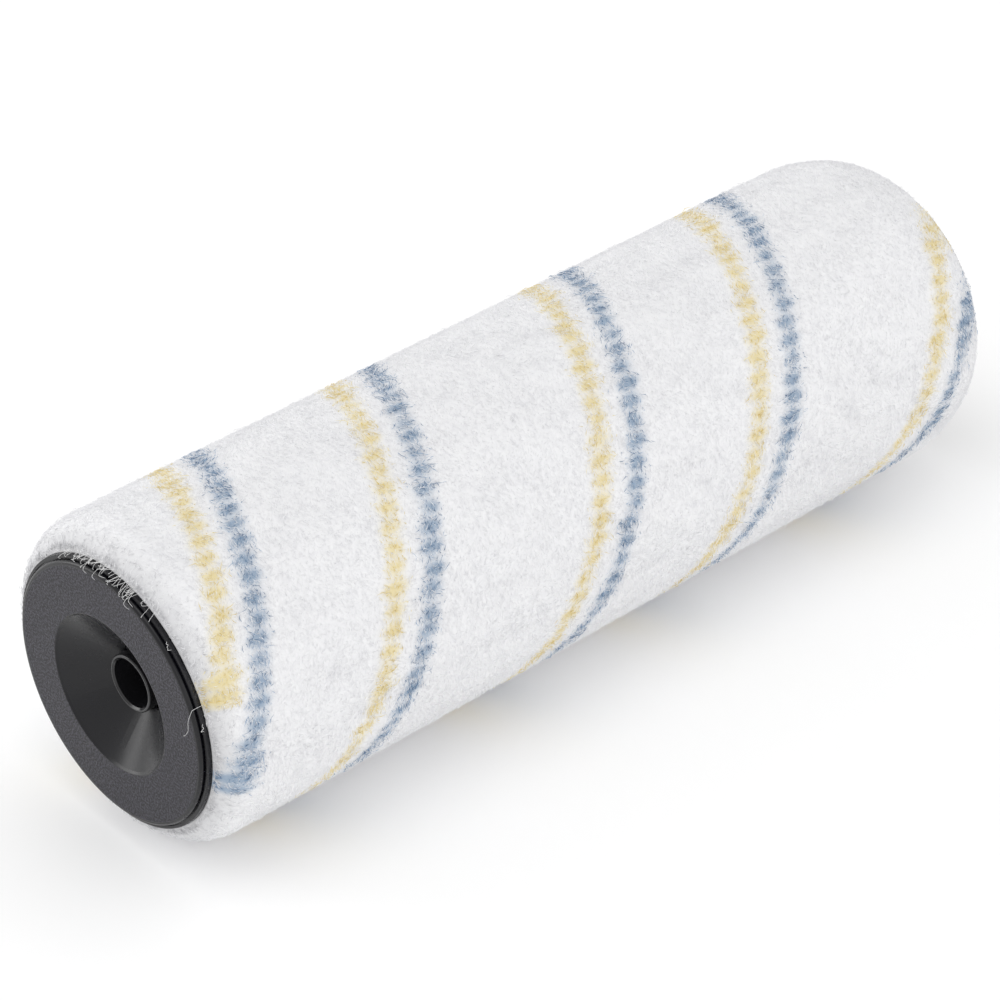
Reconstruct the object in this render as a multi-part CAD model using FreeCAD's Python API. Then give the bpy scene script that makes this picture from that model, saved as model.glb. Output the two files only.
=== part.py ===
"""Paint roller refill: a pile-covered sleeve with two end caps, turning on a guide tube.

The roller's axis is +X, +Z is up, and the origin is on the axis at mid length.
The front cap is at -X.  All sizes are in millimetres.
"""
import FreeCAD, Part

import math
import os

V = FreeCAD.Vector
AXIS = V(1, 0, 0)
ORIGIN = V(0, 0, 0)

# Overall; the diameter follows from the core, the backing and the pile
OVERALL_LENGTH = 180.0     # face of the front cap to face of the rear cap

# Core tube, which everything else is built on
CORE_RADIUS = 24.0         # outside
CORE_WALL = 1.5

# Pile fabric wound on the core
BACKING_THICKNESS = 0.8    # knitted ground of the fabric
PILE_HEIGHT = 4.4          # backing to the tips of the fibres
NAP_SHOULDER = 1.9         # height of the pile on the fabric's end face
NAP_BEVEL = 7.5            # length over which the pile rises from there to its full height
NAP_SHOULDER_ROUND = 1.6
NAP_CROWN_ROUND = 12.0

# End cap, outside the core
FLANGE_LIP = 0.25          # how far the flange stands out past the core
FLANGE_THICKNESS = 1.0
FLANGE_ROUND = 0.2
DISC_STEP = 0.85           # how far the raised disc's edge is inside the flange's edge
DISC_RISE = 0.8            # how far the disc's face stands in front of the flange
DISC_ROUND = 0.55
GROOVE_WIDTH = 0.3         # shadow groove at the foot of the raised disc
GROOVE_DEPTH = 0.25

# End cap, funnel and hub
FUNNEL_RADIUS = 13.9       # at the face
FUNNEL_DEPTH = 6.6         # face to the foot of the cone
FUNNEL_LIP = 0.35          # bevel round the mouth
CAP_WALL = 1.6             # plate, cone and skirt
HUB_WALL = 1.8
HUB_LENGTH = 14.0          # length of the plain bearing behind the cone
SKIRT_LENGTH = 12.0        # length that is pressed into the core
SKIRT_LEAD = 0.8           # lead-in bevel on the skirt's inner end
RIB_COUNT = 6
RIB_THICKNESS = 1.4

# Guide tube
BORE_RADIUS = 4.4          # takes the 8 mm wire of a roller frame
TUBE_WALL = 0.8            # at the journals
TUBE_SHOULDER = 1.1        # step from a journal up to the middle of the tube
TUBE_PROUD = 2.4           # how far the tube's end stands in front of the cone's foot
TUBE_LIP_ROUND = 0.3
BORE_CHAMFER = 0.3

# Fits
BEARING_CLEARANCE = 0.05   # radial, journal in hub
END_FLOAT = 0.3            # each end, tube's shoulder to hub

# Sizes that follow
FACE_X = OVERALL_LENGTH / 2
FLANGE_FRONT_X = FACE_X - DISC_RISE
CORE_END_X = FLANGE_FRONT_X - FLANGE_THICKNESS
CORE_BORE = CORE_RADIUS - CORE_WALL
BACKING_RADIUS = CORE_RADIUS + BACKING_THICKNESS
NAP_RADIUS = BACKING_RADIUS + PILE_HEIGHT
FLANGE_RADIUS = CORE_RADIUS + FLANGE_LIP
DISC_RADIUS = FLANGE_RADIUS - DISC_STEP
JOURNAL_RADIUS = BORE_RADIUS + TUBE_WALL
HUB_BORE = JOURNAL_RADIUS + BEARING_CLEARANCE
HUB_RADIUS = HUB_BORE + HUB_WALL
CONE_FOOT_X = FACE_X - FUNNEL_DEPTH
HUB_END_X = CONE_FOOT_X - HUB_LENGTH
SKIRT_END_X = CORE_END_X - SKIRT_LENGTH
SKIRT_BORE = CORE_BORE - CAP_WALL
PLATE_BACK_X = CORE_END_X - CAP_WALL / 2
TUBE_END_X = CONE_FOOT_X + TUBE_PROUD


def point(x, radius):
    """A point of a profile, which is drawn above the axis in the XZ plane."""
    return V(x, 0, radius)


def profile_edges(corners):
    """Edges through (x, radius, round) corners, each cut off by a tangent arc of its round."""
    starts = []
    ends = []
    arcs = []
    for i, (x, radius, fillet) in enumerate(corners):
        corner = point(x, radius)
        before = (point(*corners[i - 1][:2]) - corner).normalize()
        after = (point(*corners[(i + 1) % len(corners)][:2]) - corner).normalize()
        half = before.getAngle(after) / 2
        if fillet == 0:
            starts.append(corner)
            ends.append(corner)
            arcs.append(None)
            continue
        reach = fillet / math.tan(half)
        inward = (before + after).normalize()
        crest = corner + inward * (fillet / math.sin(half) - fillet)
        starts.append(corner + before * reach)
        ends.append(corner + after * reach)
        arcs.append(Part.Arc(starts[-1], crest, ends[-1]).toShape())
    edges = []
    for i, arc in enumerate(arcs):
        if arc is not None:
            edges.append(arc)
        following = starts[(i + 1) % len(corners)]
        if ends[i].distanceToPoint(following) > 1e-7:
            edges.append(Part.LineSegment(ends[i], following).toShape())
    return edges


def turned(corners):
    """Solid of revolution about the roller's axis."""
    wire = Part.Wire(profile_edges(corners))
    return Part.Face(wire).revolve(ORIGIN, AXIS, 360)


def sleeve(half_length, inner, outer):
    """Plain tube centred on the origin."""
    return turned([
        (-half_length, inner, 0),
        (half_length, inner, 0),
        (half_length, outer, 0),
        (-half_length, outer, 0),
    ])


def core_tube():
    """Rigid plastic tube that carries the fabric."""
    return sleeve(CORE_END_X, CORE_BORE, CORE_RADIUS)


def fabric_backing():
    """Ground of the fabric, bonded to the core."""
    return sleeve(CORE_END_X, CORE_RADIUS, BACKING_RADIUS)


def nap_pile():
    """Pile standing on the backing, bevelled and rounded at both ends."""
    shoulder = BACKING_RADIUS + NAP_SHOULDER
    crown_x = CORE_END_X - NAP_BEVEL
    return turned([
        (-CORE_END_X, BACKING_RADIUS, 0),
        (CORE_END_X, BACKING_RADIUS, 0),
        (CORE_END_X, shoulder, NAP_SHOULDER_ROUND),
        (crown_x, NAP_RADIUS, NAP_CROWN_ROUND),
        (-crown_x, NAP_RADIUS, NAP_CROWN_ROUND),
        (-CORE_END_X, shoulder, NAP_SHOULDER_ROUND),
    ])


def cap_shell():
    """Flange, raised disc, funnel, hub and skirt of the cap at +X, as one turned solid."""
    groove_floor_x = FLANGE_FRONT_X - GROOVE_DEPTH
    groove_edge = DISC_RADIUS + GROOVE_WIDTH
    slope = math.atan2(FUNNEL_RADIUS - HUB_BORE, FUNNEL_DEPTH)
    cone_back = CAP_WALL / math.cos(slope)
    cone_rate = (FUNNEL_RADIUS - HUB_BORE) / FUNNEL_DEPTH
    cone_back_radius = FUNNEL_RADIUS - cone_rate * (FACE_X - PLATE_BACK_X) + cone_back
    hub_meets_cone_x = CONE_FOOT_X + (HUB_RADIUS - HUB_BORE - cone_back) / cone_rate
    return turned([
        (FACE_X, FUNNEL_RADIUS + FUNNEL_LIP, 0),
        (FACE_X, DISC_RADIUS, DISC_ROUND),
        (groove_floor_x, DISC_RADIUS, 0),
        (groove_floor_x, groove_edge, 0),
        (FLANGE_FRONT_X, groove_edge, 0),
        (FLANGE_FRONT_X, FLANGE_RADIUS, FLANGE_ROUND),
        (CORE_END_X, FLANGE_RADIUS, FLANGE_ROUND),
        (CORE_END_X, CORE_BORE, 0),
        (SKIRT_END_X + SKIRT_LEAD, CORE_BORE, 0),
        (SKIRT_END_X, CORE_BORE - SKIRT_LEAD, 0),
        (SKIRT_END_X, SKIRT_BORE, 0),
        (PLATE_BACK_X, SKIRT_BORE, 0),
        (PLATE_BACK_X, cone_back_radius, 0),
        (hub_meets_cone_x, HUB_RADIUS, 0),
        (HUB_END_X, HUB_RADIUS, 0),
        (HUB_END_X, HUB_BORE, 0),
        (CONE_FOOT_X, HUB_BORE, 0),
        (FACE_X - FUNNEL_LIP, FUNNEL_RADIUS, 0),
    ])


def cap_ribs():
    """Radial ribs that tie the hub to the skirt behind the plate and the cone."""
    inner = HUB_RADIUS - HUB_WALL / 2
    outer = SKIRT_BORE + CAP_WALL / 2
    length = PLATE_BACK_X + CAP_WALL / 2 - SKIRT_END_X
    rib = Part.makeBox(length, RIB_THICKNESS, outer - inner)
    rib.translate(V(SKIRT_END_X, -RIB_THICKNESS / 2, inner))
    step = 360 / RIB_COUNT
    return [rib.rotated(ORIGIN, AXIS, i * step) for i in range(RIB_COUNT)]


def funnel_space():
    """What the ribs leave open: the funnel in front of the cone."""
    return turned([
        (CONE_FOOT_X, 0, 0),
        (FACE_X + 1, 0, 0),
        (FACE_X + 1, FUNNEL_RADIUS, 0),
        (FACE_X - FUNNEL_LIP, FUNNEL_RADIUS, 0),
        (CONE_FOOT_X, HUB_BORE, 0),
    ])


def end_cap_rear():
    """Moulded cap at +X, pressed into the core."""
    shell = cap_shell()
    ribs = [rib.cut(funnel_space()) for rib in cap_ribs()]
    return shell.multiFuse(ribs).removeSplitter()


def end_cap_front():
    """The same moulding, turned round for the -X end."""
    return end_cap_rear().rotated(ORIGIN, V(0, 0, 1), 180)


def guide_tube():
    """Tube that the frame's wire goes through; its ends are the journals that the caps turn on."""
    shoulder_x = HUB_END_X - END_FLOAT
    shoulder = JOURNAL_RADIUS + TUBE_SHOULDER
    half = [
        (TUBE_END_X, BORE_RADIUS + BORE_CHAMFER, 0),
        (TUBE_END_X, JOURNAL_RADIUS, TUBE_LIP_ROUND),
        (shoulder_x, JOURNAL_RADIUS, 0),
        (shoulder_x, shoulder, 0),
    ]
    bore = [(TUBE_END_X - BORE_CHAMFER, BORE_RADIUS, 0)]
    right = bore + half
    left = [(-x, radius, fillet) for x, radius, fillet in reversed(right)]
    return turned(right + left)


NODES = {
    "core_tube": core_tube,
    "fabric_backing": fabric_backing,
    "nap_pile": nap_pile,
    "end_cap_front": end_cap_front,
    "end_cap_rear": end_cap_rear,
    "guide_tube": guide_tube,
}

os.makedirs("parts", exist_ok=True)
for name, make in NODES.items():
    shape = make()
    solids = shape.Solids
    if len(solids) != 1 or not solids[0].isValid():
        raise ValueError(f"{name} is not one valid solid")
    solid = solids[0]
    solid.exportStep(f"parts/{name}.step")
    box = solid.BoundBox
    print(f"{name}: x {box.XMin:.2f} to {box.XMax:.2f}, z {box.ZMin:.2f} to {box.ZMax:.2f}, "
          f"volume {solid.Volume:.0f} mm3")
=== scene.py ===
"""Paint roller refill: a plush sleeve with two pairs of stripe yarns, moulded end caps and a guide tube.

The roller's axis is X and the front cap is at -X.  Lengths are in metres, those of the camera's lens in
millimetres, and angles in radians.  An angle round the roller is measured from +Y towards +Z.
"""

import logging
import math
from dataclasses import dataclass, field
from enum import Enum

import bmesh
import bpy
import numpy as np
from mathutils import Matrix, Vector

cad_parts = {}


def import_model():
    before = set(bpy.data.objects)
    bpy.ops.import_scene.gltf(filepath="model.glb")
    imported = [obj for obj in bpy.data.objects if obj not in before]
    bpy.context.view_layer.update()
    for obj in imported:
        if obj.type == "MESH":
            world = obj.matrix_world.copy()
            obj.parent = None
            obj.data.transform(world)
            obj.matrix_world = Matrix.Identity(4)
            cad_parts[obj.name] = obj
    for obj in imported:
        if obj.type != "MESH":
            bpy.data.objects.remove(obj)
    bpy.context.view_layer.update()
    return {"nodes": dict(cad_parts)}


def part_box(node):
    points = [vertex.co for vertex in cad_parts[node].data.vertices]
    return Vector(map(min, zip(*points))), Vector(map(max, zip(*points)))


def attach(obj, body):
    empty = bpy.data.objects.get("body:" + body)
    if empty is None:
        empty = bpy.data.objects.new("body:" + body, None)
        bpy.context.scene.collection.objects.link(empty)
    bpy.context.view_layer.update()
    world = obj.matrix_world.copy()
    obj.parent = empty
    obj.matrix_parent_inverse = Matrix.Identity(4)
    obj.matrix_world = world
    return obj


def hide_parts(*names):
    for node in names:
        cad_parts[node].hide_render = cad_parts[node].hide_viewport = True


MM = 0.001
TURN = 2 * math.pi
LOG = logging.getLogger("roller")


# ---------------------------------------------------------------- shader maths


class Value:
    """A shader socket that Python's operators work on by adding Math nodes."""

    def __init__(self, tree: "Tree", socket: bpy.types.NodeSocket | None) -> None:
        """Wraps an output socket.

        Args:
            tree: the material's tree, which makes the nodes.
            socket: the output socket, if the node has one.
        """
        self.tree = tree
        self.socket = socket

    def math(self, operation: str, *others: "Value | float", flip: bool = False) -> "Value":
        """Adds one Math node.

        Args:
            operation: the node's operation.
            others: its other inputs.
            flip: whether this value comes second.

        Returns:
            The node's result.
        """
        terms = [self, *others]
        if flip:
            terms.reverse()
        inputs = dict(enumerate(terms))
        return self.tree.add("ShaderNodeMath", {"operation": operation}, inputs)

    def __add__(self, other: "Value | float") -> "Value":
        """Sum."""
        return self.math("ADD", other)

    def __sub__(self, other: "Value | float") -> "Value":
        """Difference."""
        return self.math("SUBTRACT", other)

    def __rsub__(self, other: float) -> "Value":
        """Difference, with this value taken away."""
        return self.math("SUBTRACT", other, flip=True)

    def __mul__(self, other: "Value | float") -> "Value":
        """Product."""
        return self.math("MULTIPLY", other)

    def ramp(self, low: float, high: float) -> "Value":
        """Rises smoothly from 0 at low to 1 at high.

        Args:
            low: where it leaves 0.
            high: where it reaches 1; it may be under low.

        Returns:
            The ramped value.
        """
        if low > high:
            return 1.0 - self.ramp(high, low)
        settings = {"interpolation_type": "SMOOTHSTEP"}
        inputs = {"Value": self, "From Min": low, "From Max": high}
        return self.tree.add("ShaderNodeMapRange", settings, inputs, "Result")


class Tree:
    """One material's nodes, made by a single method."""

    def __init__(self, name: str) -> None:
        """Starts a material.

        Args:
            name: the material's name.
        """
        self.material = bpy.data.materials.new(name)
        self.material.use_nodes = True
        self.material.node_tree.nodes.clear()

    def add(
        self,
        kind: str,
        settings: dict[str, object] | None = None,
        inputs: dict[str | int, object] | None = None,
        output: str | int = 0,
    ) -> Value:
        """Adds a node, then its settings, then the values and links of its sockets.

        Args:
            kind: the node's type.
            settings: its properties.
            inputs: a value or a Value for each named or numbered socket.
            output: which of its outputs to return.

        Returns:
            The output.
        """
        node = self.material.node_tree.nodes.new(kind)
        for name, value in (settings or {}).items():
            setattr(node, name, value)
        for name, value in (inputs or {}).items():
            if isinstance(value, Value):
                self.material.node_tree.links.new(value.socket, node.inputs[name])
            else:
                node.inputs[name].default_value = value
        return Value(self, node.outputs[output] if len(node.outputs) else None)

    def place(self) -> Value:
        """The Object coordinates."""
        return self.add("ShaderNodeTexCoord", output="Object")

    def attribute(self, name: str) -> Value:
        """A number stored on the piece's points."""
        return self.add("ShaderNodeAttribute", {"attribute_name": name}, output="Fac")

    def noise(self, place: Value, size: float, detail: float = 2.0, seed: float = 0.0) -> Value:
        """Soft noise.

        Args:
            place: the coordinates.
            size: the width of one blotch.
            detail: how many finer layers are added.
            seed: sets one noise apart from another.

        Returns:
            The noise, about 0 to 1.
        """
        inputs = {"Vector": place, "W": seed, "Scale": 1 / size, "Detail": detail, "Roughness": 0.55}
        return self.add("ShaderNodeTexNoise", {"noise_dimensions": "4D"}, inputs)

    def mix(self, amount: Value, first: object, second: object) -> Value:
        """Mixes two colours.

        Args:
            amount: 0 for the first, 1 for the second.
            first: a colour or a Value.
            second: a colour or a Value.

        Returns:
            The mixed colour.
        """
        settings = {"data_type": "RGBA"}
        return self.add("ShaderNodeMix", settings, {0: amount, 6: first, 7: second}, 2)

    def bump(self, height: Value, depth: float) -> Value:
        """A normal from a height.

        Args:
            height: 0 to 1.
            depth: how deep 1 is.

        Returns:
            The normal.
        """
        return self.add("ShaderNodeBump", inputs={"Height": height, "Distance": depth}, output="Normal")

    def finish(self, **sockets: object) -> bpy.types.Material:
        """Adds the surface shader and the output.

        Args:
            sockets: the shader's sockets, with _ for a space.

        Returns:
            The material.
        """
        inputs = {name.replace("_", " "): value for name, value in sockets.items()}
        surface = self.add("ShaderNodeBsdfPrincipled", inputs=inputs)
        self.add("ShaderNodeOutputMaterial", inputs={"Surface": surface})
        return self.material


Colour = tuple[float, float, float, float]


def from_display(red: int, green: int, blue: int) -> Colour:
    """A colour for a shader from display values of 0 to 255."""
    def linear(value: int) -> float:
        share = value / 255
        return share / 12.92 if share <= 0.04045 else ((share + 0.055) / 1.055) ** 2.4

    return linear(red), linear(green), linear(blue), 1.0


# -------------------------------------------------------------------- finishes


@dataclass(frozen=True)
class FibreFinish:
    """Fibres of one dyed yarn, each piece in one plain shade."""

    name: str
    colour: Colour
    roughness: float = 0.85
    sheen: float = 0.15

    def material(self) -> bpy.types.Material:
        """The finish as a material."""
        return Tree(self.name).finish(
            Base_Color=self.colour,
            Roughness=self.roughness,
            Sheen_Weight=self.sheen,
            Sheen_Roughness=0.5,
        )


@dataclass(frozen=True)
class PlushFinish:
    """The dense pile between the separate fibres, with the stripe yarns showing through.

    White is clouded with shade, and the pile takes the edge colour as painted shade next to the front
    cap.
    """

    white: Colour
    shade: Colour
    yellow: Colour
    blue: Colour
    # The edge colour is painted shade, used next to the front cap.
    edge: Colour
    clump: float = 1.6 * MM
    grain: float = 0.35 * MM
    depth: float = 0.12 * MM
    clouding: float = 0.6
    rim_shade_strength: float = 0.8
    fraying: float = 0.5
    dye: float = 0.8

    def material(self) -> bpy.types.Material:
        """The finish as a material."""
        tree = Tree("plush_ground")
        place = tree.place()
        clumps = tree.noise(place, self.clump, 3.0)
        grain = tree.noise(place, self.grain, 2.0, 3.0)
        colour = tree.mix(clumps.ramp(0.3, 0.7) * self.clouding, self.white, self.shade)
        # Painted shade: the pile darkens towards the edge colour next to the front cap.
        colour = tree.mix(tree.attribute("rim_shade") * self.rim_shade_strength, colour, self.edge)
        frayed = (grain - 0.5) * self.fraying
        yellow = tree.attribute("yellow")
        blue = tree.attribute("blue")
        colour = tree.mix((yellow + frayed * yellow).ramp(0.0, 1.0) * self.dye, colour, self.yellow)
        colour = tree.mix((blue + frayed * blue).ramp(0.0, 1.0) * self.dye, colour, self.blue)
        return tree.finish(
            Base_Color=colour,
            Roughness=0.9,
            Sheen_Weight=0.15,
            Sheen_Roughness=0.6,
            Normal=tree.bump(clumps * 0.5 + grain * 0.5, self.depth),
        )


@dataclass(frozen=True)
class MouldedFinish:
    """Moulded cap plastic: spark-textured on the flat face, smooth in the funnel and on the edges.

    The flat face is a ring at face_x from the roller's middle, and its texture fades out over edge.
    """

    face: Colour
    smooth: Colour
    face_x: float
    face_inner: float
    face_outer: float
    grain: float = 0.36 * MM
    depth: float = 0.14 * MM
    edge: float = 0.12 * MM
    polish: float = 0.27
    matting: float = 0.24

    def material(self) -> bpy.types.Material:
        """The finish as a material."""
        tree = Tree("cap_plastic")
        place = tree.place()
        along = tree.add("ShaderNodeSeparateXYZ", inputs={0: place}, output="X")
        across = tree.add("ShaderNodeVectorMath", {"operation": "MULTIPLY"}, {0: place, 1: (0, 1, 1)})
        radius = tree.add("ShaderNodeVectorMath", {"operation": "LENGTH"}, {0: across}, "Value")
        on_face = along.math("ABSOLUTE").ramp(self.face_x - 2 * self.edge, self.face_x - self.edge)
        inside = radius.ramp(self.face_inner, self.face_inner + self.edge)
        inside = inside * radius.ramp(self.face_outer, self.face_outer - self.edge)
        textured = on_face * inside
        sparks = tree.noise(place, self.grain, 2.0)
        blotches = tree.noise(place, 5 * self.grain, 2.0, 5.0)
        grey = tree.mix(sparks.ramp(0.46, 0.56) * 0.9 + blotches * 0.1, self.smooth, self.face)
        scuffs = tree.noise(place, 3 * MM, 4.0, 9.0)
        rough = textured * self.matting + self.polish + (scuffs - 0.5) * 0.1
        return tree.finish(
            Base_Color=tree.mix(textured, self.smooth, grey),
            Roughness=rough,
            Specular_IOR_Level=0.38,
            Normal=tree.bump(sparks * textured, self.depth),
        )


@dataclass(frozen=True)
class TubeFinish:
    """Extruded guide tube: semi-gloss, with faint draw lines along it."""

    colour: Colour
    worn: Colour

    def material(self) -> bpy.types.Material:
        """The finish as a material."""
        tree = Tree("tube_plastic")
        place = tree.place()
        lines = tree.add("ShaderNodeMapping", inputs={"Vector": place, "Scale": (0.02, 1.0, 1.0)})
        drawn = tree.noise(lines, 0.3 * MM, 2.0)
        scuffs = tree.noise(place, 1.2 * MM, 3.0, 4.0)
        return tree.finish(
            Base_Color=tree.mix(scuffs.ramp(0.55, 0.75) * 0.5, self.colour, self.worn),
            Roughness=scuffs * 0.2 + 0.12,
            Normal=tree.bump(drawn, 0.01 * MM),
        )


@dataclass(frozen=True)
class KnitFinish:
    """Knitted ground of the fabric, in fine ribs round the core."""

    colour: Colour
    shade: Colour
    rib: float = 0.7 * MM

    def material(self) -> bpy.types.Material:
        """The finish as a material."""
        tree = Tree("backing_knit")
        place = tree.place()
        along = tree.add("ShaderNodeSeparateXYZ", inputs={0: place}, output="X")
        ribs = (along * (TURN / self.rib)).math("SINE") * 0.5 + 0.5
        yarn = tree.noise(place, 0.4 * MM, 3.0)
        return tree.finish(
            Base_Color=tree.mix(yarn * ribs, self.shade, self.colour),
            Roughness=0.95,
            Normal=tree.bump(ribs * 0.6 + yarn * 0.4, 0.1 * MM),
        )


@dataclass(frozen=True)
class CoreFinish:
    """Extruded core tube: pale recycled plastic with a faint cloud."""

    colour: Colour
    cloud: Colour

    def material(self) -> bpy.types.Material:
        """The finish as a material."""
        tree = Tree("core_plastic")
        place = tree.place()
        clouds = tree.noise(place, 6 * MM, 4.0)
        return tree.finish(
            Base_Color=tree.mix(clouds, self.colour, self.cloud),
            Roughness=clouds * 0.2 + 0.4,
            Normal=tree.bump(tree.noise(place, 0.5 * MM), 0.02 * MM),
        )


# ------------------------------------------------------------------ the fabric


class Yarn(Enum):
    """The dyed yarns of the pile."""

    YELLOW = "yellow"
    BLUE = "blue"


@dataclass(frozen=True)
class Stripe:
    """One stripe yarn: a row of tufts that winds round the roller with the fabric.

    start is where the row crosses the angle zero, and lead is how far it moves in a turn.  Near the
    front end the row bends away from it over push_reach, and its tufts are wider over flare_reach.  No
    tuft's middle is nearer the end than front_margin, and those more than cut_off past it are left out.
    """

    yarn: Yarn
    start: float
    lead: float
    seed: int
    habits: int = 1024
    tufts_per_turn: int = 58
    tuft_width: float = 1.25 * MM
    tuft_length: float = 0.68 * MM
    halo_width: float = 1.75 * MM
    halo: float = 0.44
    wander: float = 0.3 * MM
    push: float = 2.4 * MM
    push_reach: float = 30 * MM
    push_power: float = 1.5
    flare: float = 0.8
    flare_length: float = 1.3
    flare_reach: float = 5 * MM
    front_margin: float = 2.2 * MM
    cut_off: float = 1.3 * MM

    def cover(self, x: np.ndarray, angle: np.ndarray, radius: float, front: float) -> np.ndarray:
        """How much of the stripe's dye shows at each place.

        The last tufts at the front end spread out along the roller over the rounded end.

        Args:
            x: places along the fabric.
            angle: places round the roller.
            radius: the roller's radius.
            front: where the fabric's front end is.

        Returns:
            1 in a tuft's middle, less in the haze between tufts, 0 far from them.
        """
        turn = np.round((x - self.start) / self.lead + angle / TURN)
        number = (angle / TURN - turn) * self.tufts_per_turn
        habits = np.random.default_rng(self.seed).normal(size=(self.habits, 4))
        pitch = TURN * radius / self.tufts_per_turn
        shown = np.zeros_like(x)
        for step in (-1, 0, 1):
            tuft = np.round(number) + step
            habit = habits[tuft.astype(int) % len(habits)]
            centre, spread = self.near_front(self.start - tuft / self.tufts_per_turn * self.lead, front)
            around = (number - tuft) * pitch + habit[:, 0] * 0.5 * self.wander
            across = x - centre + habit[:, 1] * self.wander
            width = self.tuft_width * (1 + 0.15 * habit[:, 2]) * np.maximum(spread, 0.1)
            length = self.tuft_length * np.where(spread > 1, self.flare_length, 1)
            blob = np.exp(-0.5 * ((across / width) ** 2 + (around / length) ** 2))
            strength = np.clip(0.95 + 0.16 * habit[:, 3], 0.5, 1.2) * (spread > 0)
            shown = np.maximum(shown, blob * strength)
        centre, spread = self.near_front(self.start + (turn - angle / TURN) * self.lead, front)
        haze = np.exp(-0.5 * ((x - centre) / self.halo_width) ** 2) * (spread > 0)
        total = np.clip(shown, 0, 1)
        total += self.halo * haze * (1 - total)
        return np.clip((total - 0.05) / 0.9, 0, 1)

    def near_front(self, centre: np.ndarray, front: float) -> tuple[np.ndarray, np.ndarray]:
        """Moves and spreads what lies near the fabric's front end.

        Args:
            centre: places along the fabric.
            front: where its front end is.

        Returns:
            The places moved, and how many times wider a tuft is there; 0 if it is off the fabric.
        """
        gap = centre - front
        spread = 1 + self.flare * np.clip(1 - gap / self.flare_reach, 0, 1)
        pushed = centre + self.push * np.clip(1 - gap / self.push_reach, 0, 1) ** self.push_power
        return np.maximum(pushed, front + self.front_margin), np.where(gap > -self.cut_off, spread, 0)


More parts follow.
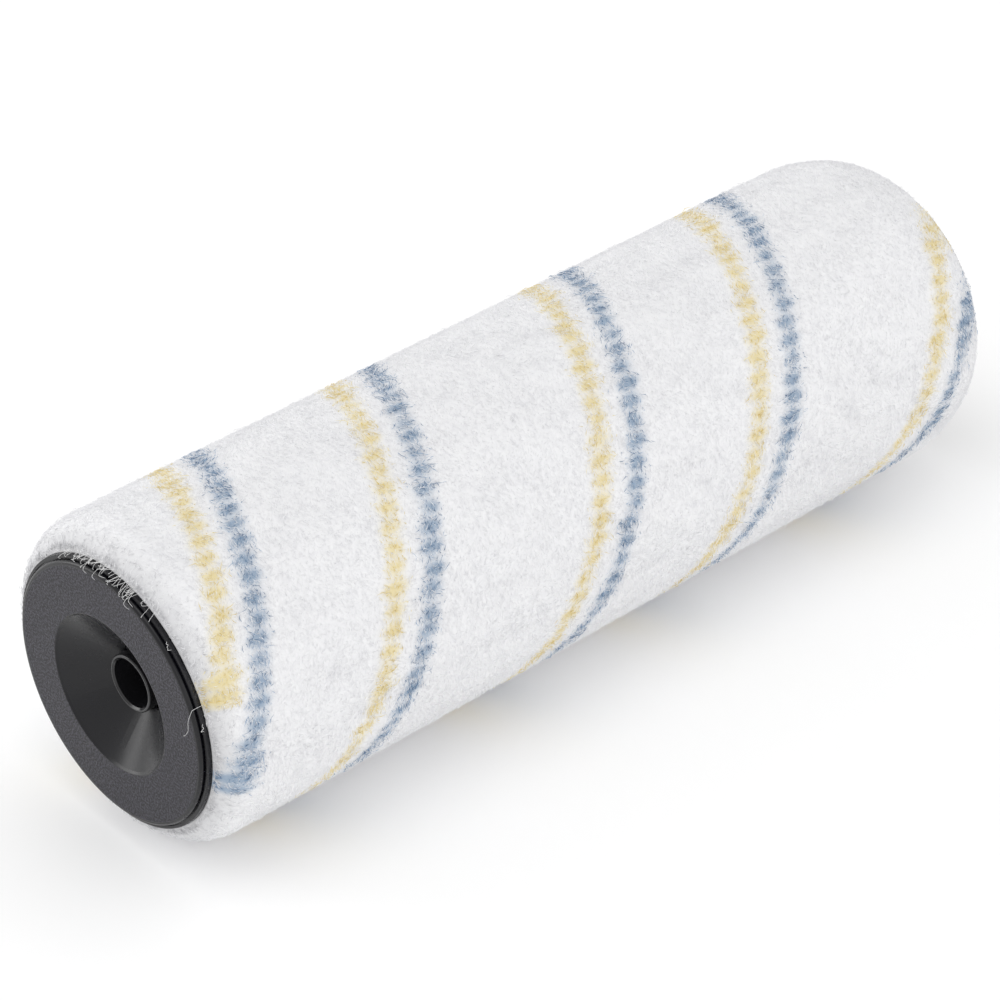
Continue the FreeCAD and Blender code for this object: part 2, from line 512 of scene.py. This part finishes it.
@dataclass
class PileFabric:
    """The pile fabric wound on the core: its outline and its stripes.

    The fabric is a strip wound edge to edge, so its two pairs of stripe yarns become two double helices.
    The pile is rounded at both ends, and at the rear it hangs over the cap's flange.  It splays outwards
    by splay at the very rear and less over splay_reach, and painted shade darkens it over
    rim_shade_reach at the front.
    """

    half_length: float
    ground_radius: float
    radius: float
    front_round: float = 7.3 * MM
    rear_round: float = 12.0 * MM
    front_power: float = 2.15
    rear_power: float = 1.72
    rear_overhang: float = 0.55 * MM
    lead: float = 82.75 * MM
    first_yellow: float = -15.7 * MM
    second_yellow: float = 29.7 * MM
    blue_gap: float = 7.85 * MM
    splay: float = 4.2 * MM
    splay_reach: float = 12.2 * MM
    rim_shade_reach: float = 3.4 * MM
    front_fringe: float = 1.1 * MM
    rear_fringe: float = 0.45 * MM
    front_share: float = 0.75
    fine_step: float = 0.3 * MM
    stripes: list[Stripe] = field(default_factory=list)

    def __post_init__(self) -> None:
        """Lays out the two pairs of stripes."""
        for pair, start in enumerate((self.first_yellow, self.second_yellow)):
            self.stripes.append(Stripe(Yarn.YELLOW, start, self.lead, 10 + pair))
            self.stripes.append(Stripe(Yarn.BLUE, start + self.blue_gap, self.lead, 20 + pair))

    def end_outline(self, side: int, length: float, roundness: float, step: float) -> np.ndarray:
        """The rounding of one end, from its end face up to the crown.

        Args:
            side: -1 for the front, 1 for the rear.
            length: how far along the roller it reaches.
            roundness: the curve's power; 2 is an ellipse and more is fuller.
            step: the spacing of its points.

        Returns:
            One (x, radius) row a point.
        """
        turns = np.linspace(0, math.pi / 2, max(8, int(1.4 * length / step)))
        power = 2 / roundness
        along = length * (1 - np.cos(turns) ** power)
        out = (self.radius - self.ground_radius) * np.sin(turns) ** power
        end = self.half_length + (self.rear_overhang if side > 0 else 0)
        return np.stack([side * (end - along), self.ground_radius + out], 1)

    def outline(self, step: float) -> np.ndarray:
        """The pile's outline from the front end to the rear.

        Args:
            step: the spacing of its points.

        Returns:
            One (x, radius) row a point.
        """
        front = self.end_outline(-1, self.front_round, self.front_power, step)
        rear = self.end_outline(1, self.rear_round, self.rear_power, step)[::-1]
        count = int((rear[0, 0] - front[-1, 0]) / step)
        flat = np.linspace(front[-1, 0], rear[0, 0], count + 1)[1:-1]
        return np.concatenate([front, np.stack([flat, np.full_like(flat, self.radius)], 1), rear])

    def scatter(self, rng: np.random.Generator, count: int) -> "Spots":
        """Spreads points evenly over the pile's surface.

        Args:
            rng: the source of chance.
            count: how many points.

        Returns:
            The points.
        """
        line = self.outline(self.fine_step)
        pieces = np.diff(line, axis=0)
        area = np.hypot(*pieces.T) * (line[1:, 1] + line[:-1, 1])
        reach = np.concatenate([[0], np.cumsum(area)])
        at = (np.arange(count) + rng.random(count)) / count * reach[-1]
        x = np.interp(at, reach, line[:, 0])
        radius = np.interp(at, reach, line[:, 1])
        slope = np.arctan2(np.gradient(line[:, 1]), np.gradient(line[:, 0]))
        golden = TURN * (math.sqrt(5) - 1) / 2
        angle = (np.arange(count) * golden + rng.normal(0, 0.004, count)) % TURN
        return Spots(x, radius, angle, np.interp(at, reach, slope))

    def end_spots(self, rng: np.random.Generator, count: int) -> "Spots":
        """Points on the two end faces, close to the caps' flanges and more of them at the front.

        Args:
            rng: the source of chance.
            count: how many points.

        Returns:
            The points.
        """
        side = np.where(rng.random(count) < self.front_share, -1.0, 1.0)
        reach = np.where(side < 0, self.front_fringe, self.rear_fringe)
        radius = self.ground_radius + 0.05 * MM + rng.random(count) * reach
        x = np.where(side < 0, -self.half_length, self.half_length + self.rear_overhang)
        return Spots(x, radius, rng.uniform(0, TURN, count), -side * math.pi / 2)

    def rim_shade_weight(self, x: np.ndarray) -> np.ndarray:
        """How much painted shade darkens the pile towards the front cap.

        Args:
            x: places along the roller.

        Returns:
            1 at the very end, 0 past rim_shade_reach.
        """
        # Painted shade next to the front cap, strongest at the very end.
        return np.clip(1 - (x + self.half_length) / self.rim_shade_reach, 0, 1)

    def yarn_cover(self, yarn: Yarn, x: np.ndarray, angle: np.ndarray) -> np.ndarray:
        """How far each point is inside a tuft of one yarn.

        Args:
            yarn: the yarn.
            x: places along the roller.
            angle: places round it.

        Returns:
            1 in a tuft's middle, 0 outside all of them.
        """
        near_rear = np.clip((x - self.half_length) / self.splay_reach + 1, 0, 1)
        root = x - self.splay * near_rear**4
        front = -self.half_length
        cover = [s.cover(root, angle, self.radius, front) for s in self.stripes if s.yarn is yarn]
        return np.max(cover, axis=0)


@dataclass
class Spots:
    """Points on the pile's surface: places along and round the roller, radius and outline slope."""

    x: np.ndarray
    radius: np.ndarray
    angle: np.ndarray
    slope: np.ndarray

    def outwards(self) -> np.ndarray:
        """The unit normal at each point."""
        along = -np.sin(self.slope)
        out = np.cos(self.slope)
        return np.stack([along, out * np.cos(self.angle), out * np.sin(self.angle)], 1)

    def points(self) -> np.ndarray:
        """The points in space."""
        return np.stack([self.x, self.radius * np.cos(self.angle), self.radius * np.sin(self.angle)], 1)

    def round_about(self) -> np.ndarray:
        """The unit tangent round the roller at each point."""
        return np.stack([np.zeros_like(self.x), -np.sin(self.angle), np.cos(self.angle)], 1)


def paint(piece: bpy.types.Object, material: bpy.types.Material) -> None:
    """Gives a piece one material through its slots."""
    if not piece.material_slots:
        piece.data.materials.append(material)
    for slot in piece.material_slots:
        slot.material = material


def add_piece(name: str, mesh: bpy.types.Mesh, body: str) -> bpy.types.Object:
    """Adds a finished mesh as a piece of the roller.

    Args:
        name: the piece's name.
        mesh: its mesh, in place.
        body: the CAD body that it rides on.

    Returns:
        The piece.
    """
    piece = bpy.data.objects.new(name, mesh)
    bpy.context.scene.collection.objects.link(piece)
    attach(piece, body)
    LOG.info("%s: %d faces", name, len(mesh.polygons))
    return piece


@dataclass
class PlushGround:
    """The dense lower pile: a closed sleeve just under the fibre tips, a little uneven as plush is.

    It lies sunk under the pile's outline and lip past its ends, and is at least thinnest thick.
    """

    fabric: PileFabric
    inner_radius: float
    finish: PlushFinish
    sunk: float = 0.55 * MM
    thinnest: float = 0.1 * MM
    lip: float = 0.1 * MM
    step: float = 0.75 * MM
    turns: int = 280
    unevenness: float = 0.03 * MM

    def build(self) -> bpy.types.Object:
        """Spins the outline into a sleeve, roughens it and colours its stripes.

        Returns:
            The piece.
        """
        line = self.fabric.outline(self.step)
        shape = bmesh.new()
        longer = 1 + self.lip / self.fabric.half_length
        lowest = self.inner_radius + self.thinnest
        ring = [shape.verts.new((x * longer, 0, max(r - self.sunk, lowest))) for x, r in line]
        ends = (ring[-1].co.x, ring[0].co.x)
        ring += [shape.verts.new((x, 0, self.inner_radius)) for x in ends]
        loop = zip(ring, ring[1:] + ring[:1])
        edges = [shape.edges.new(pair) for pair in loop]
        bmesh.ops.spin(
            shape,
            geom=ring + edges,
            cent=(0, 0, 0),
            axis=(1, 0, 0),
            angle=TURN,
            steps=self.turns,
            use_merge=True,
        )
        bmesh.ops.remove_doubles(shape, verts=shape.verts, dist=1e-6)
        bmesh.ops.recalc_face_normals(shape, faces=shape.faces)
        mesh = bpy.data.meshes.new("plush_ground")
        shape.to_mesh(mesh)
        shape.free()
        self.roughen(mesh)
        self.unroll(mesh)
        mesh.shade_smooth()
        piece = add_piece("plush_ground", mesh, "roller")
        paint(piece, self.finish.material())
        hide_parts("nap_pile")
        return piece

    def roughen(self, mesh: bpy.types.Mesh) -> None:
        """Moves the outer points in and out a little, and stores what the finish reads.

        That is how far each point is inside a yellow and a blue tuft, and how much shade is painted
        there.
        """
        places = np.empty(len(mesh.vertices) * 3, np.float32)
        mesh.vertices.foreach_get("co", places)
        places = places.reshape(-1, 3).astype(float)
        radius = np.hypot(places[:, 1], places[:, 2])
        angle = np.arctan2(places[:, 2], places[:, 1])
        wave = swell(places[:, 0], angle)
        outer = radius > self.inner_radius + 0.5 * MM
        factor = 1 + np.where(outer, wave * self.unevenness, 0) / radius
        places[:, 1:] *= factor[:, None]
        mesh.vertices.foreach_set("co", places.astype(np.float32).ravel())
        for yarn in Yarn:
            cover = self.fabric.yarn_cover(yarn, places[:, 0], angle)
            store = mesh.attributes.new(yarn.value, "FLOAT", "POINT")
            store.data.foreach_set("value", cover.astype(np.float32))
        # Painted shade towards the front cap, read by the plush finish.
        rim_shade = mesh.attributes.new("rim_shade", "FLOAT", "POINT")
        rim_shade.data.foreach_set("value", self.fabric.rim_shade_weight(places[:, 0]).astype(np.float32))

    def unroll(self, mesh: bpy.types.Mesh) -> None:
        """Maps the sleeve as one unrolled sheet: round it in U and along its outline in V."""
        places = np.empty(len(mesh.vertices) * 3, np.float32)
        mesh.vertices.foreach_get("co", places)
        corners = np.empty(len(mesh.loops), np.int32)
        mesh.loops.foreach_get("vertex_index", corners)
        x, y, z = places.reshape(-1, 3)[corners.reshape(-1, 4)].transpose(2, 0, 1).astype(float)
        radius = np.hypot(y, z)
        angle = np.arctan2(z, y)
        middle = np.arctan2(z.mean(1), y.mean(1))[:, None]
        near = middle + (angle - middle + math.pi) % TURN - math.pi
        lowest = math.pi / 2 - TURN
        shift = np.floor((middle - lowest) / TURN) * TURN
        around = (near - shift - lowest) / TURN
        reach = self.fabric.half_length + self.fabric.radius - self.inner_radius + 1.5 * MM
        along = x - np.sign(x) * (radius - self.fabric.radius)
        outer = 0.45 * (1 + along / reach)
        inner = np.where(x < 0, 0.93, 0.99)
        bore = radius.max(1, keepdims=True) < self.inner_radius + 0.05 * MM
        store = mesh.uv_layers.new(name="OFBake")
        chart = np.stack([0.004 + 0.992 * around, np.where(bore, inner, outer) + 0.005], 2)
        store.data.foreach_set("uv", chart.astype(np.float32).ravel())


def swell(x: np.ndarray, angle: np.ndarray, seed: int = 5, waves: int = 14) -> np.ndarray:
    """Soft unevenness over the unrolled fabric, about -1 to 1.

    Args:
        x: places along the roller.
        angle: places round it.
        seed: sets one pattern apart from another.
        waves: how many waves are added up.

    Returns:
        The height at each place.
    """
    rng = np.random.default_rng(seed)
    total = np.zeros_like(x)
    for _ in range(waves):
        around = rng.integers(-16, 17)
        along = rng.normal(0, 1 / (5 * MM))
        total += np.sin(around * angle + along * x + rng.random() * TURN)
    return total / math.sqrt(waves)


@dataclass
class FibreShape:
    """One fibre with three sides: thickest at its bend, pointed at both ends."""

    bend: float = 0.5

    def template(self) -> tuple[np.ndarray, np.ndarray]:
        """Builds the fibre along +Z, one unit long and one unit in radius.

        Returns:
            Its points, and its faces as rows of three point numbers.
        """
        shape = bmesh.new()
        upper = (1 + self.bend) / 2
        bmesh.ops.create_cone(
            shape,
            cap_ends=True,
            segments=3,
            radius1=1,
            radius2=0,
            depth=1 - self.bend,
            matrix=Matrix.Translation((0, 0, upper)),
        )
        base = [face for face in shape.faces if abs(face.normal.z) > 0.99]
        bmesh.ops.poke(shape, faces=base, offset=self.bend)
        bmesh.ops.recalc_face_normals(shape, faces=shape.faces)
        points = np.array([v.co for v in shape.verts])
        faces = np.array([[v.index for v in f.verts] for f in shape.faces])
        shape.free()
        return points, faces


@dataclass
class Fibres:
    """A set of fibres: where each starts and ends, how thick it is and how far it bows."""

    roots: np.ndarray
    tips: np.ndarray
    widths: np.ndarray
    bows: np.ndarray

    def mesh(self, name: str, shape: FibreShape) -> bpy.types.Mesh:
        """Repeats one fibre's shape along each of them.

        Args:
            name: the mesh's name.
            shape: the fibre.

        Returns:
            The mesh.
        """
        points, faces = shape.template()
        reach = self.tips - self.roots
        ahead = reach / np.linalg.norm(reach, axis=1, keepdims=True)
        side = np.cross(ahead, self.bows)
        side /= np.linalg.norm(side, axis=1, keepdims=True) + 1e-12
        up = np.cross(ahead, side)
        height = points[:, 2]
        places = self.roots[:, None] + reach[:, None] * height[None, :, None]
        places += self.bows[:, None] * (4 * height * (1 - height))[None, :, None]
        thick = side[:, None] * points[None, :, :1] + up[:, None] * points[None, :, 1:2]
        places += thick * self.widths[:, None, None] / 2
        count = len(self.roots)
        corners = faces[None] + (np.arange(count) * len(points))[:, None, None]
        made = bpy.data.meshes.new(name)
        made.vertices.add(count * len(points))
        made.vertices.foreach_set("co", places.astype(np.float32).ravel())
        made.loops.add(corners.size)
        made.loops.foreach_set("vertex_index", corners.astype(np.int32).ravel())
        made.polygons.add(count * len(faces))
        made.polygons.foreach_set("loop_start", np.arange(0, corners.size, 3, dtype=np.int32))
        made.update(calc_edges=True)
        made.shade_flat()
        return made

    def pick(self, chosen: np.ndarray) -> "Fibres":
        """Some of the fibres."""
        return Fibres(self.roots[chosen], self.tips[chosen], self.widths[chosen], self.bows[chosen])

    def join(self, other: "Fibres") -> "Fibres":
        """These fibres and the other ones."""
        return Fibres(
            np.concatenate([self.roots, other.roots]),
            np.concatenate([self.tips, other.tips]),
            np.concatenate([self.widths, other.widths]),
            np.concatenate([self.bows, other.bows]),
        )


@dataclass(frozen=True)
class Stand:
    """How far fibre tips rise over the surface, how much that varies, and the longest fibre."""

    rise: float
    spread: float
    longest: float


@dataclass
class Pile:
    """The cut pile's fibre ends, which lean in slow swirls over the fabric.

    count fibres cover its outside, and fringe more stand on its two end faces.  A share is how many of
    them are dyed in a tuft's middle, or take the edge's darker finish, painted shade, at the very end.
    """

    fabric: PileFabric
    whites: list[FibreFinish]
    # The edge finish is a darker white: painted shade next to the front cap.
    edge: FibreFinish
    yellows: list[FibreFinish]
    blues: list[FibreFinish]
    count: int = 230_000
    fringe: int = 9_000
    piece_limit: int = 32_000
    crown_stand: Stand = Stand(rise=-0.12 * MM, spread=0.1 * MM, longest=3.2 * MM)
    fringe_stand: Stand = Stand(rise=0.04 * MM, spread=0.13 * MM, longest=1.2 * MM)
    width: float = 0.1 * MM
    depth: float = 0.9 * MM
    lean: float = 0.95
    swirl: float = 1.6
    yellow_share: float = 0.7
    blue_share: float = 0.74
    rim_shade_share: float = 0.75
    seed: int = 41

    def lay(self, spots: Spots, rng: np.random.Generator, stand: Stand) -> Fibres:
        """Stands a fibre on each point.  Towards the rear end they lie flatter and vary less.

        Args:
            spots: where the fibres come to the surface.
            rng: the source of chance.
            stand: how they stand there.

        Returns:
            The fibres.
        """
        count = len(spots.x)
        out = spots.outwards()
        about = spots.round_about()
        along = np.cross(about, out)
        swirls = swell(spots.x, spots.angle, seed=8, waves=6)
        heading = self.swirl * swirls + rng.normal(0, 0.9, count)
        flat = along * np.cos(heading)[:, None] + about * np.sin(heading)[:, None]
        calm = np.clip((spots.x - self.fabric.half_length) / self.fabric.rear_round + 1, 0, 1)
        lean = np.clip(rng.normal(self.lean, 0.28, count) + 0.3 * calm, 0.1, 1.35)
        ahead = out * np.cos(lean)[:, None] + flat * np.sin(lean)[:, None]
        top = stand.rise + stand.spread * (1 - 0.6 * calm) * rng.normal(0, 1, count).clip(-2, 2.5)
        depth = self.depth * rng.uniform(0.7, 1.2, count)
        length = (top + depth) / np.maximum(ahead * out, 0).sum(1)
        length = np.minimum(length, stand.longest * (1 - 0.45 * calm))
        tips = spots.points() + out * top[:, None]
        roots = tips - ahead * length[:, None]
        curl = rng.normal(0, 1, (count, 3))
        bows = np.cross(ahead, curl)
        bowed = length * rng.uniform(0.05, 0.22, count)
        bows *= bowed[:, None] / np.linalg.norm(bows, axis=1)[:, None]
        widths = self.width * rng.uniform(0.7, 1.35, count)
        return Fibres(roots, tips, widths, bows)

    def build(self) -> list[bpy.types.Object]:
        """Makes the fibres and sorts them into pieces by yarn and shade.

        Returns:
            The pieces.
        """
        rng = np.random.default_rng(self.seed)
        fibres = self.lay(self.fabric.scatter(rng, self.count), rng, self.crown_stand)
        ends = self.fabric.end_spots(rng, self.fringe)
        fibres = fibres.join(self.lay(ends, rng, self.fringe_stand))
        middle = fibres.roots * 0.55 + fibres.tips * 0.45
        angle = np.arctan2(middle[:, 2], middle[:, 1])
        yellow = self.fabric.yarn_cover(Yarn.YELLOW, middle[:, 0], angle)
        blue = self.fabric.yarn_cover(Yarn.BLUE, middle[:, 0], angle)
        dyed_yellow = rng.random(len(yellow)) < self.yellow_share * yellow
        dyed_blue = (rng.random(len(blue)) < self.blue_share * blue) & ~dyed_yellow
        white = ~(dyed_yellow | dyed_blue)
        # Painted shade: white fibres near the front cap take the darker edge finish.
        edge = white & (rng.random(len(white)) < self.rim_shade_share * self.fabric.rim_shade_weight(middle[:, 0]))
        pieces = self.pieces("pile_white", self.whites, fibres.pick(white & ~edge), rng)
        pieces += self.pieces("pile_white", [self.edge], fibres.pick(edge), rng, "pile_rim_shade")
        pieces += self.pieces("pile_yellow", self.yellows, fibres.pick(dyed_yellow), rng)
        pieces += self.pieces("pile_blue", self.blues, fibres.pick(dyed_blue), rng)
        return pieces

    def pieces(
        self,
        slot: str,
        finishes: list[FibreFinish],
        fibres: Fibres,
        rng: np.random.Generator,
        start: str = "",
    ) -> list[bpy.types.Object]:
        """Makes one yarn's fibres as pieces, each in one shade and under the limit of its size.

        Args:
            slot: what the pieces' names start with, unless start is given.
            finishes: the shades.
            fibres: the yarn's fibres.
            rng: the source of chance.
            start: what the pieces' names start with, if not the slot.

        Returns:
            The pieces.
        """
        order = rng.permutation(len(fibres.roots))
        parts = max(len(finishes), math.ceil(len(order) / self.piece_limit))
        made = []
        for i, chosen in enumerate(np.array_split(order, parts)):
            name = f"{start or slot}_{i + 1}"
            piece = add_piece(name, fibres.pick(chosen).mesh(name, FibreShape()), "roller")
            paint(piece, finishes[i % len(finishes)].material())
            made.append(piece)
        return made


@dataclass(frozen=True)
class LooseHair:
    """One long hair that lies across the front cap, drawn as bends from its root.

    angle and radius place the root, heading is its first direction across the face, and each bend is a
    length and how far the hair turns over it.  The root is reach behind the face, and the hair then lies
    lowest over it, and up to arch more.
    """

    angle: float
    radius: float
    heading: float
    bends: tuple[tuple[float, float], ...]
    reach: float = 2.0 * MM
    lowest: float = 0.12 * MM
    arch: float = 0.25 * MM

    def path(self, face_x: float, points: int = 8) -> np.ndarray:
        """The hair's line.

        Args:
            face_x: where the cap's face is.
            points: how many points each bend has.

        Returns:
            One row a point.
        """
        place = np.array([self.radius * math.cos(self.angle), self.radius * math.sin(self.angle)])
        heading = self.heading
        line = [place]
        for length, turn in self.bends:
            for _ in range(points):
                heading += turn / points
                place = place + length / points * np.array([math.cos(heading), math.sin(heading)])
                line.append(place)
        share = np.linspace(0, 1, len(line))
        lift = self.lowest + self.arch * np.sin(3 * math.pi * share) ** 2
        drop = self.reach * np.clip(1 - share / 0.35, 0, 1) ** 2
        return np.column_stack([face_x - lift + drop, np.array(line)])


@dataclass
class StrayHairs:
    """Hairs pulled out of the pile's front edge, which curl over the cap's rim.

    count of them start between first_angle and last_angle, mostly near busiest_angle, and fluff
    shorter ones start within fluff_angles.
    """

    finish: FibreFinish
    rim_x: float
    rim_radius: float
    face_x: float
    count: int = 30
    fluff: int = 34
    first_angle: float = math.radians(58)
    busiest_angle: float = math.radians(100)
    last_angle: float = math.radians(118)
    fluff_angles: tuple[float, float] = (math.radians(66), math.radians(116))
    width: float = 0.058 * MM
    seed: int = 77

    def curl(self, rng: np.random.Generator, angle: float, length: float) -> np.ndarray:
        """One short curly hair that starts at the pile's edge and reaches over the rim.

        Args:
            rng: the source of chance.
            angle: where it starts, round the roller.
            length: how long it is.

        Returns:
            One row a point.
        """
        points = 14
        out = np.array([math.cos(angle), math.sin(angle)])
        lay = rng.choice((-1.0, 1.0), p=(0.7, 0.3))
        heading = angle + math.pi - lay * rng.uniform(0.3, 1.35)
        turn = lay * rng.normal(0.5, 1.1)
        twist = rng.normal(0, 2.2)
        place = out * (self.rim_radius + rng.uniform(0.3, 1.0) * MM)
        line = [place]
        for i in range(points - 1):
            heading += (turn + twist * (2 * i / points - 1)) / points
            place = place + length / points * np.array([math.cos(heading), math.sin(heading)])
            line.append(place)
        share = np.linspace(0, 1, points)
        climb = np.clip(share * length / (1.6 * MM), 0, 1)
        rest = self.rim_x + (self.face_x - self.rim_x) * climb * climb * (3 - 2 * climb)
        lift = (0.3 * MM + rng.uniform(0.1, 0.5) * MM) * np.sin(share * math.pi) + 0.12 * MM
        return np.column_stack([rest - lift, np.array(line)])

    def mesh(self, paths: list[np.ndarray]) -> bpy.types.Mesh:
        """Sweeps a three-sided section, pointed at both ends, along each line.

        Args:
            paths: the lines.

        Returns:
            The mesh.
        """
        shape = bmesh.new()
        for path in paths:
            ahead = np.gradient(path, axis=0)
            side = np.cross(ahead, (0.31, 0.17, 0.93))
            side /= np.linalg.norm(side, axis=1, keepdims=True)
            up = np.cross(ahead, side)
            up /= np.linalg.norm(up, axis=1, keepdims=True)
            rings = []
            for i in range(1, len(path) - 1):
                turns = [TURN * k / 3 for k in range(3)]
                around = [side[i] * math.cos(t) + up[i] * math.sin(t) for t in turns]
                rings.append([shape.verts.new(path[i] + self.width / 2 * a) for a in around])
            ends = (shape.verts.new(path[0]), shape.verts.new(path[-1]))
            for k in range(3):
                after = (k + 1) % 3
                shape.faces.new((ends[0], rings[0][after], rings[0][k]))
                shape.faces.new((ends[1], rings[-1][k], rings[-1][after]))
                for low, high in zip(rings, rings[1:]):
                    shape.faces.new((low[k], low[after], high[after], high[k]))
        bmesh.ops.recalc_face_normals(shape, faces=shape.faces)
        made = bpy.data.meshes.new("stray_hairs")
        shape.to_mesh(made)
        shape.free()
        return made

    def build(self) -> bpy.types.Object:
        """Makes the short curls and the few long hairs.

        Returns:
            The piece.
        """
        rng = np.random.default_rng(self.seed)
        paths = []
        for _ in range(self.count):
            angle = rng.triangular(self.first_angle, self.busiest_angle, self.last_angle)
            paths.append(self.curl(rng, angle, rng.triangular(0.8, 1.4, 3.6) * MM))
        for _ in range(self.fluff):
            angle = rng.uniform(*self.fluff_angles)
            paths.append(self.curl(rng, angle, rng.triangular(0.5, 0.9, 1.5) * MM))
        long_hairs = (
            LooseHair(
                angle=math.radians(155.8),
                radius=24.7 * MM,
                heading=math.radians(-24),
                bends=(
                    (1.0 * MM, math.radians(-46)),
                    (4.6 * MM, math.radians(-10)),
                    (2.4 * MM, math.radians(50)),
                ),
            ),
            LooseHair(
                angle=math.radians(165.3),
                radius=24.7 * MM,
                heading=math.radians(115),
                bends=((1.5 * MM, math.radians(15)), (1.2 * MM, math.radians(-80))),
                reach=0.9 * MM,
            ),
            LooseHair(
                angle=math.radians(132.5),
                radius=24.6 * MM,
                heading=math.radians(95),
                bends=((1.2 * MM, math.radians(10)), (1.0 * MM, math.radians(-70))),
                reach=0.9 * MM,
            ),
        )
        paths += [hair.path(self.face_x) for hair in long_hairs]
        piece = add_piece("stray_hairs", self.mesh(paths), "roller")
        paint(piece, self.finish.material())
        return piece


# ---------------------------------------------------------------- the hard parts


def dress(nodes: dict[str, bpy.types.Object], face_x: float) -> None:
    """Gives the caps, the tube, the backing and the core their finishes.

    Args:
        nodes: the model's pieces by name.
        face_x: how far the caps' faces are from the roller's middle.
    """
    moulded = MouldedFinish(
        face=from_display(63, 61, 70),
        smooth=from_display(8, 8, 14),
        face_x=face_x,
        face_inner=14.3 * MM,
        face_outer=22.7 * MM,
    ).material()
    for name in ("end_cap_front", "end_cap_rear"):
        paint(nodes[name], moulded)
    tube = TubeFinish(from_display(26, 26, 28), from_display(46, 46, 50))
    paint(nodes["guide_tube"], tube.material())
    knit = KnitFinish(from_display(238, 238, 240), from_display(214, 213, 214))
    paint(nodes["fabric_backing"], knit.material())
    core = CoreFinish(from_display(206, 204, 198), from_display(190, 188, 182))
    paint(nodes["core_tube"], core.material())


# -------------------------------------------------------------------- the studio


@dataclass
class Studio:
    """Plain pale floor, soft light and the camera."""

    floor_z: float
    aim: Vector = field(default_factory=lambda: Vector((-4.3, 1.0, -3.0)) * MM)
    distance: float = 710.85 * MM
    azimuth: float = math.radians(42.21)
    elevation: float = math.radians(35.37)
    lens: float = 148.22
    sensor: float = 36.0
    brightness: float = 0.86

    def camera(self) -> None:
        """Makes the scene's camera."""
        level = math.cos(self.elevation)
        ahead = Vector((
            math.sin(self.azimuth) * level,
            math.cos(self.azimuth) * level,
            -math.sin(self.elevation),
        ))
        camera = bpy.data.objects.new("camera", bpy.data.cameras.new("camera"))
        camera.data.lens = self.lens
        camera.data.sensor_width = self.sensor
        camera.data.clip_start = 0.01
        camera.location = self.aim - ahead * self.distance
        camera.rotation_euler = ahead.to_track_quat("-Z", "Y").to_euler()
        bpy.context.scene.collection.objects.link(camera)
        bpy.context.scene.camera = camera

    def floor(self) -> None:
        """Makes the floor that the roller lies on."""
        shape = bmesh.new()
        bmesh.ops.create_grid(shape, x_segments=1, y_segments=1, size=6)
        mesh = bpy.data.meshes.new("floor")
        shape.to_mesh(mesh)
        shape.free()
        mesh.transform(Matrix.Translation((0, 0, self.floor_z)))
        floor = bpy.data.objects.new("floor", mesh)
        bpy.context.scene.collection.objects.link(floor)
        paint(floor, Tree("floor").finish(Base_Color=(0.98, 0.98, 0.98, 1), Roughness=0.9))

    def lamp(self, name: str, place: Vector, size: float, power: float) -> None:
        """Makes one soft box that faces the roller.

        Args:
            name: its name.
            place: where it stands.
            size: the length of its side.
            power: its power in watts.
        """
        lamp = bpy.data.objects.new(name, bpy.data.lights.new(name, "AREA"))
        lamp.data.shape = "SQUARE"
        lamp.data.size = size
        lamp.data.energy = power
        lamp.location = place
        lamp.rotation_euler = (-place).to_track_quat("-Z", "Y").to_euler()
        bpy.context.scene.collection.objects.link(lamp)

    def light(self) -> None:
        """Makes the sky and the soft boxes."""
        world = bpy.data.worlds.new("studio")
        world.use_nodes = True
        sky = world.node_tree.nodes["Background"]
        sky.inputs["Color"].default_value = (1, 1, 1, 1)
        sky.inputs["Strength"].default_value = self.brightness
        bpy.context.scene.world = world
        self.lamp("top", Vector((-0.2, -0.1, 1.3)), 0.9, 2.9)
        self.lamp("left", Vector((-0.6, 1.05, 0.35)), 0.7, 4.0)
        self.lamp("right", Vector((0.3, -1.2, 0.25)), 0.8, 2.2)
        self.lamp("camera_side", Vector((-0.8, -1.0, 0.4)), 0.7, 1.1)
        bpy.context.scene.view_settings.view_transform = "Standard"
        bpy.context.scene.cycles.max_bounces = 16
        bpy.context.scene.cycles.diffuse_bounces = 12


def main() -> None:
    """Loads the frame, builds and dresses the roller round it, and lights it."""
    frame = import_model()
    nap_low, nap_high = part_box("nap_pile")
    _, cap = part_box("end_cap_rear")
    fabric = PileFabric(half_length=nap_high.x, ground_radius=cap.z, radius=nap_high.z)
    plush = PlushFinish(
        white=from_display(235, 235, 236),
        shade=from_display(228, 228, 230),
        yellow=from_display(224, 208, 150),
        blue=from_display(122, 148, 174),
        # Painted shade: the pile's colour next to the front cap.
        edge=from_display(196, 196, 198),
    )
    PlushGround(fabric, cap.z + 0.03 * MM, plush).build()
    pile = Pile(
        fabric,
        whites=[
            FibreFinish("pile_white_bright", from_display(236, 236, 237)),
            FibreFinish("pile_white_soft", from_display(233, 233, 235)),
            FibreFinish("pile_white_cool", from_display(230, 230, 232)),
        ],
        # Painted shade: darker white fibres next to the front cap.
        edge=FibreFinish("pile_white_rim_shade", from_display(204, 204, 206)),
        yellows=[
            FibreFinish("pile_yellow_light", from_display(230, 216, 162)),
            FibreFinish("pile_yellow_deep", from_display(216, 194, 120)),
        ],
        blues=[
            FibreFinish("pile_blue_light", from_display(130, 157, 185)),
            FibreFinish("pile_blue_deep", from_display(86, 117, 150)),
        ],
    )
    pile.build()
    StrayHairs(
        FibreFinish("pile_white_stray", from_display(248, 248, 248)),
        rim_x=nap_low.x,
        rim_radius=cap.z,
        face_x=-cap.x,
    ).build()
    dress(frame["nodes"], cap.x)
    studio = Studio(floor_z=nap_low.z)
    studio.camera()
    studio.floor()
    studio.light()


if __name__ == "__main__":
    logging.basicConfig(level=logging.INFO, format="%(name)s: %(message)s")
    main()
